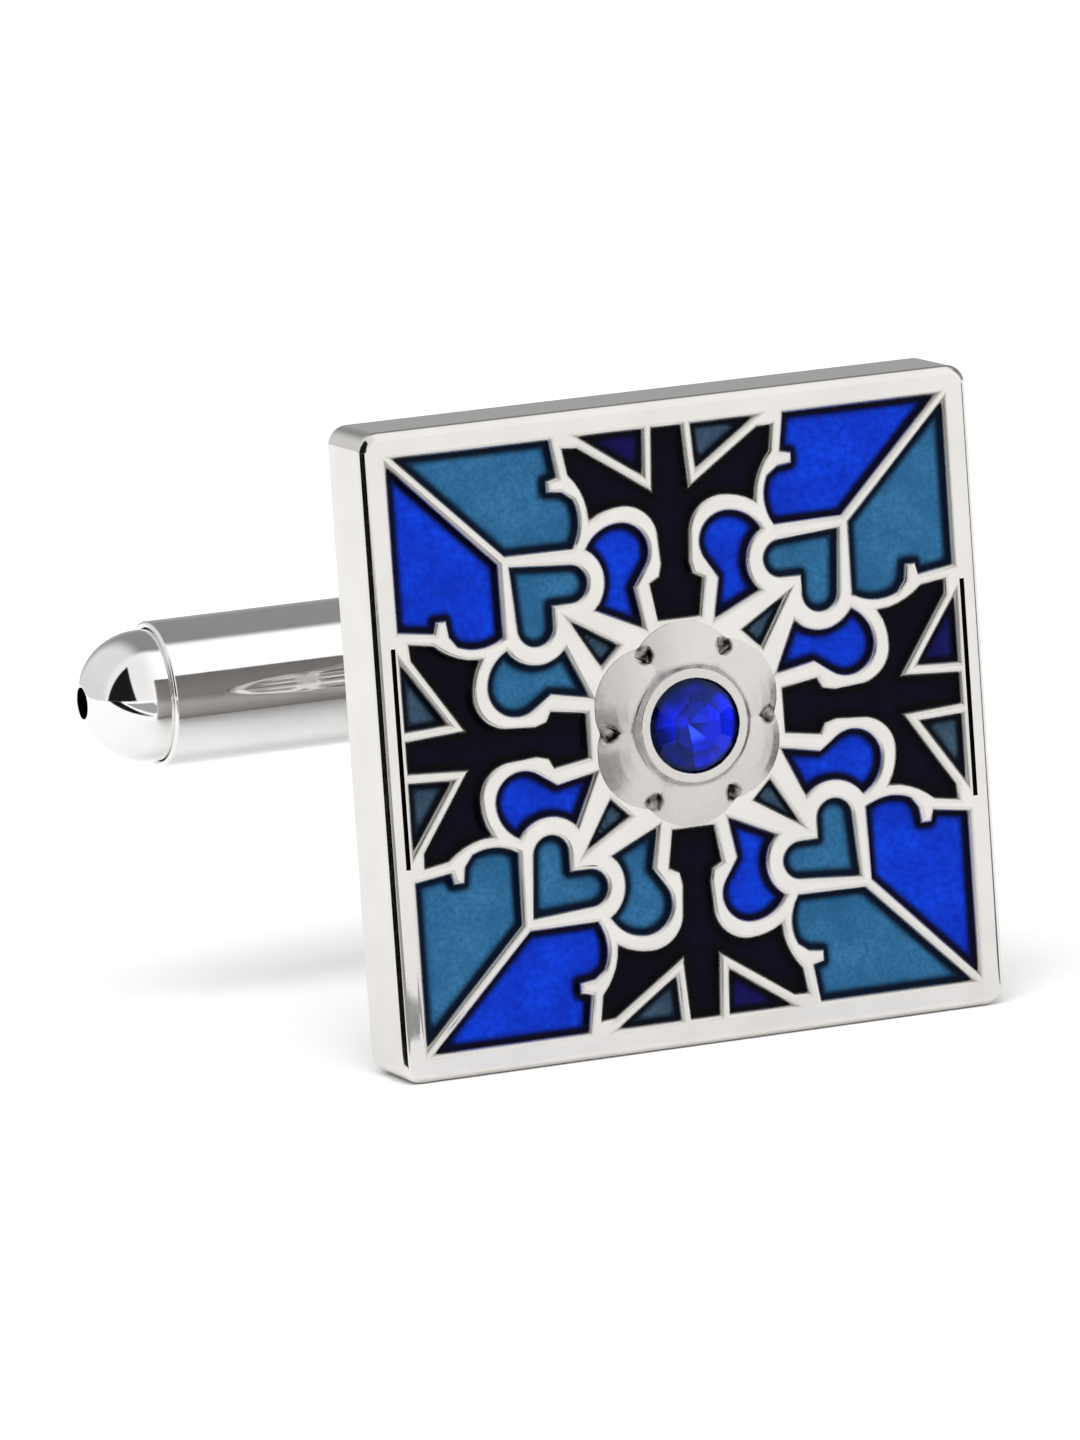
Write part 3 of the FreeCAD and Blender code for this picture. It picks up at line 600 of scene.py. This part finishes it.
def spun(profile):
    """A row of profile points, as places along the tube and distances from its axis, spun about the axis."""
    shape = bmesh.new()
    row = [shape.verts.new(tube_middle + Vector((place, 0.0, reach))) for place, reach in profile]
    sides = [shape.edges.new((first, second)) for first, second in zip(row, row[1:])]
    bmesh.ops.spin(shape, geom=[*row, *sides], cent=tube_middle, axis=(1.0, 0.0, 0.0), dvec=(0.0, 0.0, 0.0),
                   angle=math.tau, steps=turn_steps, use_merge=True)
    bmesh.ops.remove_doubles(shape, verts=shape.verts, dist=same_place)
    bmesh.ops.recalc_face_normals(shape, faces=shape.faces)
    return shape


def rounded(centre, radius, first_angle, last_angle, steps):
    """Places along an arc, with the angles in degrees counted from the tube's axis."""
    sweep = last_angle - first_angle
    turns = [math.radians(first_angle + sweep * step / steps) for step in range(steps + 1)]
    return [(centre[0] + radius * math.cos(turn), centre[1] + radius * math.sin(turn)) for turn in turns]


lip_right = rounded((tube_half - lip, tube_radius - lip), lip, outward, -outward, lip_steps)
lip_left = [(-place, reach) for place, reach in reversed(lip_right)]
tube_blank = large_blank(spun([*lip_left, *lip_right, lip_left[0]]), "tube_blank")
drill_shape = bmesh.new()
bmesh.ops.create_cone(drill_shape, cap_ends=True, segments=drill_steps, radius1=cross_hole_radius,
                      radius2=cross_hole_radius, depth=drill_length, matrix=Matrix.Translation(tube_middle))
drill = large_blank(drill_shape, "drill")
cross_hole = tube_blank.modifiers.new("cross_hole", "BOOLEAN")
cross_hole.operation = "DIFFERENCE"
cross_hole.solver = "EXACT"
cross_hole.object = drill
tube = bmesh.new()
tube.from_mesh(modified_mesh(tube_blank))
throw_away(drill)
resize(tube, 1.0 / mm_per_metre)
finished_piece(tube, "tube", "toggle_tube", "toggle", [mirror_plate])

tip_plate = plated_metal("tip_plate", tint=(0.86, 0.85, 0.84), smoothest=0.03, roughest=0.08,
                         mark_scale=3000.0, mark_depth=5e-7, painted_shade=(0.004, 0.004, 0.004))
plug_gap = 0.000015
plug_radius = tube_radius - tube_wall - plug_gap
plug_length = 0.0022
plug_bevel = 0.0001
collar = 0.00022
dome_steps = 24
hole_radius = 0.0004
hole_lip = 0.00005
hole_bevel = 0.00001
hole_depth = 0.0011
hole_slack = 2e-6
painted_hole_shade = 2.5
dome_top = collar + math.sqrt(plug_radius ** 2 - hole_radius ** 2)
hole_angle = math.degrees(math.asin((hole_radius + hole_lip) / plug_radius))
tip_profile = [(-plug_length, 0.0), (-plug_length, plug_radius - plug_bevel),
               (plug_bevel - plug_length, plug_radius),
               *rounded((collar, 0.0), plug_radius, outward, hole_angle, dome_steps),
               (dome_top - hole_bevel, hole_radius + hole_bevel), (dome_top - hole_lip, hole_radius),
               (dome_top - hole_depth, hole_radius), (dome_top - hole_depth, 0.0)]
for node, side in (("toggle_tip_left", -1.0), ("toggle_tip_right", 1.0)):
    tip = spun([(side * (tube_half + place), reach) for place, reach in tip_profile])
    # The inside of the turning hole is painted dark, as painted shade.
    hollow_layer = tip.verts.layers.float.new("hollow")
    for vert in tip.verts:
        from_middle = vert.co - tube_middle
        inside = math.hypot(from_middle.y, from_middle.z) < hole_radius + hole_slack
        vert[hollow_layer] = painted_hole_shade * (inside and abs(from_middle.x) > tube_half)
    finished_piece(tip, node.replace("toggle_", ""), node, "toggle", [tip_plate])

spring_steel = plated_metal("spring_steel", tint=(0.5, 0.5, 0.52), smoothest=0.25, roughest=0.4,
                            mark_scale=4000.0, mark_depth=1e-6)
spring = frame["nodes"]["detent_spring"]
spring.data.materials.clear()
spring.data.materials.append(spring_steel)

# Floor: a plain pale sheet of matt paper, flat and far wider than the picture.
# The cufflink stands on it on the lower edge of its face.
floor_half = 1.5
floor_drop = 2e-5


def matt_paper(name, dark, pale, grain_scale, roughness):
    """Paper without a shine that wavers between two greys."""
    material, tree, shader = new_material(name)
    colour = grained_colour(tree, grain_scale, (dark, dark, dark), (pale, pale, pale))
    shader.inputs["Roughness"].default_value = roughness
    shader.inputs["Specular IOR Level"].default_value = 0.0
    tree.links.new(colour, shader.inputs["Base Color"])
    return material


def flat_sheet(shape, name, paper):
    """An object made of a flat shape in one paper."""
    mesh = bpy.data.meshes.new(name)
    shape.to_mesh(mesh)
    shape.free()
    mesh.materials.append(paper)
    sheet = bpy.data.objects.new(name, mesh)
    bpy.context.scene.collection.objects.link(sheet)
    return sheet


floor_shape = bmesh.new()
bmesh.ops.create_grid(floor_shape, x_segments=1, y_segments=1, size=floor_half)
bmesh.ops.translate(floor_shape, vec=(0.0, 0.0, cad_box[0].z - floor_drop), verts=floor_shape.verts)
floor = flat_sheet(floor_shape, "floor", matt_paper("floor_paper", 0.94, 0.96, 40.0, 0.9))

# Cards: three dark sheets lie beside the cufflink, as a studio's flags do.
# They show only in the polished metal, as the dark lines that give its edges their shape.
upper_drop = 1e-5
lower_drop = 1.5e-5
card_waver = 1.2


def floor_card(name, corners, drop, shade):
    """A sheet of card on the floor that only polished surfaces see."""
    shape = bmesh.new()
    shape.faces.new([shape.verts.new((across, along, cad_box[0].z - drop)) for across, along in corners])
    bmesh.ops.recalc_face_normals(shape, faces=shape.faces)
    card = flat_sheet(shape, name, matt_paper(name, shade, shade * card_waver, 200.0, 1.0))
    card.visible_camera = False
    card.visible_diffuse = False
    card.visible_shadow = False
    card.visible_transmission = False


floor_card("black_card", ((-0.0086, -0.0029), (-1.25, -0.240), (-1.10, -0.667)), upper_drop, 0.005)
floor_card("left_card", ((-0.0090, -0.0065), (-0.0030, -0.0100), (-0.0120, -0.0900), (-0.1000, -0.0700)),
           lower_drop, 0.3)
floor_card("right_card", ((0.0100, -0.0020), (0.2000, 0.0200), (0.2000, -0.0900), (0.0130, -0.0080)),
           lower_drop, 0.12)

# Light: a soft white studio dome, grey behind at the right, with a narrow dark opening at the left in front.
# A broad soft key light from above evens out the enamel and the floor.
world = bpy.data.worlds.new("studio")
bpy.context.scene.world = world
world.use_nodes = True
sky = world.node_tree
sky_place = sky.nodes.new("ShaderNodeTexCoord")
sky_ways = sky.nodes.new("ShaderNodeSeparateXYZ")
sky.links.new(sky_place.outputs["Generated"], sky_ways.inputs["Vector"])


def sky_band(way, first, last, first_level, last_level):
    """A soft step of brightness along one direction of the dome."""
    band = sky.nodes.new("ShaderNodeMapRange")
    band.interpolation_type = "SMOOTHSTEP"
    levels = {"From Min": first, "From Max": last, "To Min": first_level, "To Max": last_level}
    for label, level in levels.items():
        band.inputs[label].default_value = level
    sky.links.new(sky_ways.outputs[way], band.inputs["Value"])
    return band.outputs["Result"]


def sky_mix(share, first, last):
    """A blend from one brightness to another."""
    blend = sky.nodes.new("ShaderNodeMix")
    sky.links.new(share, blend.inputs["Factor"])
    sky.links.new(first, blend.inputs["A"])
    sky.links.new(last, blend.inputs["B"])
    return blend.outputs["Result"]


def sky_side(first, second):
    """Whether a direction lies on the inner side of the plane through two directions of the dome."""
    across = sky.nodes.new("ShaderNodeVectorMath")
    across.operation = "DOT_PRODUCT"
    across.inputs[1].default_value = Vector(first).cross(Vector(second)).normalized()
    inside = sky.nodes.new("ShaderNodeMapRange")
    inside.inputs["From Min"].default_value = -0.01
    inside.inputs["From Max"].default_value = 0.03
    sky.links.new(sky_place.outputs["Generated"], across.inputs[0])
    sky.links.new(across.outputs["Value"], inside.inputs["Value"])
    return inside.outputs["Result"]


opening_top = (-0.43, -0.25, 0.87)
opening_right = (-0.42, -0.89, -0.17)
opening_left = (-0.98, -0.09, -0.17)
opening = sky.nodes.new("ShaderNodeMath")
opening.operation = "MULTIPLY"
sky.links.new(sky_side(opening_right, opening_top), opening.inputs[0])
sky.links.new(sky_side(opening_top, opening_left), opening.inputs[1])
black = sky_band("Z", -1.0, 1.0, 0.02, 0.01)
behind_right = sky_band("Z", 0.1, 0.5, 0.42, 0.3)
behind_left = sky_band("Z", 0.1, 0.5, 0.8, 0.85)
behind = sky_mix(sky_band("X", -0.3, 0.1, 0.0, 1.0), behind_left, behind_right)
front = sky_band("X", -0.2, 0.4, 1.0, 1.25)
closed_dome = sky_mix(sky_band("Y", -0.12, 0.08, 0.0, 1.0), front, behind)
dome = sky_mix(opening.outputs["Value"], closed_dome, black)
sky.links.new(dome, sky.nodes["Background"].inputs["Color"])
key_lamp = bpy.data.lights.new("key_light", "SUN")
key_lamp.energy = 1.9
key_lamp.angle = math.radians(50.0)
key_light = bpy.data.objects.new("key_light", key_lamp)
key_light.rotation_euler = Vector((-0.35, -0.5, 0.79)).to_track_quat("Z", "Y").to_euler()
key_light.visible_glossy = False
bpy.context.scene.collection.objects.link(key_light)

# Camera: a long lens a little left of the face and above it, rolled slightly.
# It is framed on the one cufflink, whose face stands right of the picture's middle.
azimuth, elevation, roll = math.radians(-20.9), math.radians(8.7), math.radians(-4.0)
picture_height = 0.0352
face_off_centre = Vector((0.00360, -0.00008, 0.0))
view_turn = (Matrix.Rotation(azimuth, 3, "Z") @ Matrix.Rotation(math.radians(90) - elevation, 3, "X")
             @ Matrix.Rotation(roll, 3, "Z"))
camera_data = bpy.data.cameras.new("camera")
camera_data.lens = 300.0
camera_data.sensor_width = 36.0
distance = picture_height * camera_data.lens / camera_data.sensor_width
face_centre = Vector((0.0, tray_low.y, 0.0))
camera = bpy.data.objects.new("camera", camera_data)
camera.matrix_world = view_turn.to_4x4()
camera.location = face_centre + view_turn @ (Vector((0.0, 0.0, distance)) - face_off_centre)
bpy.context.scene.collection.objects.link(camera)
bpy.context.scene.camera = camera
bpy.context.scene.view_settings.view_transform = "Standard"
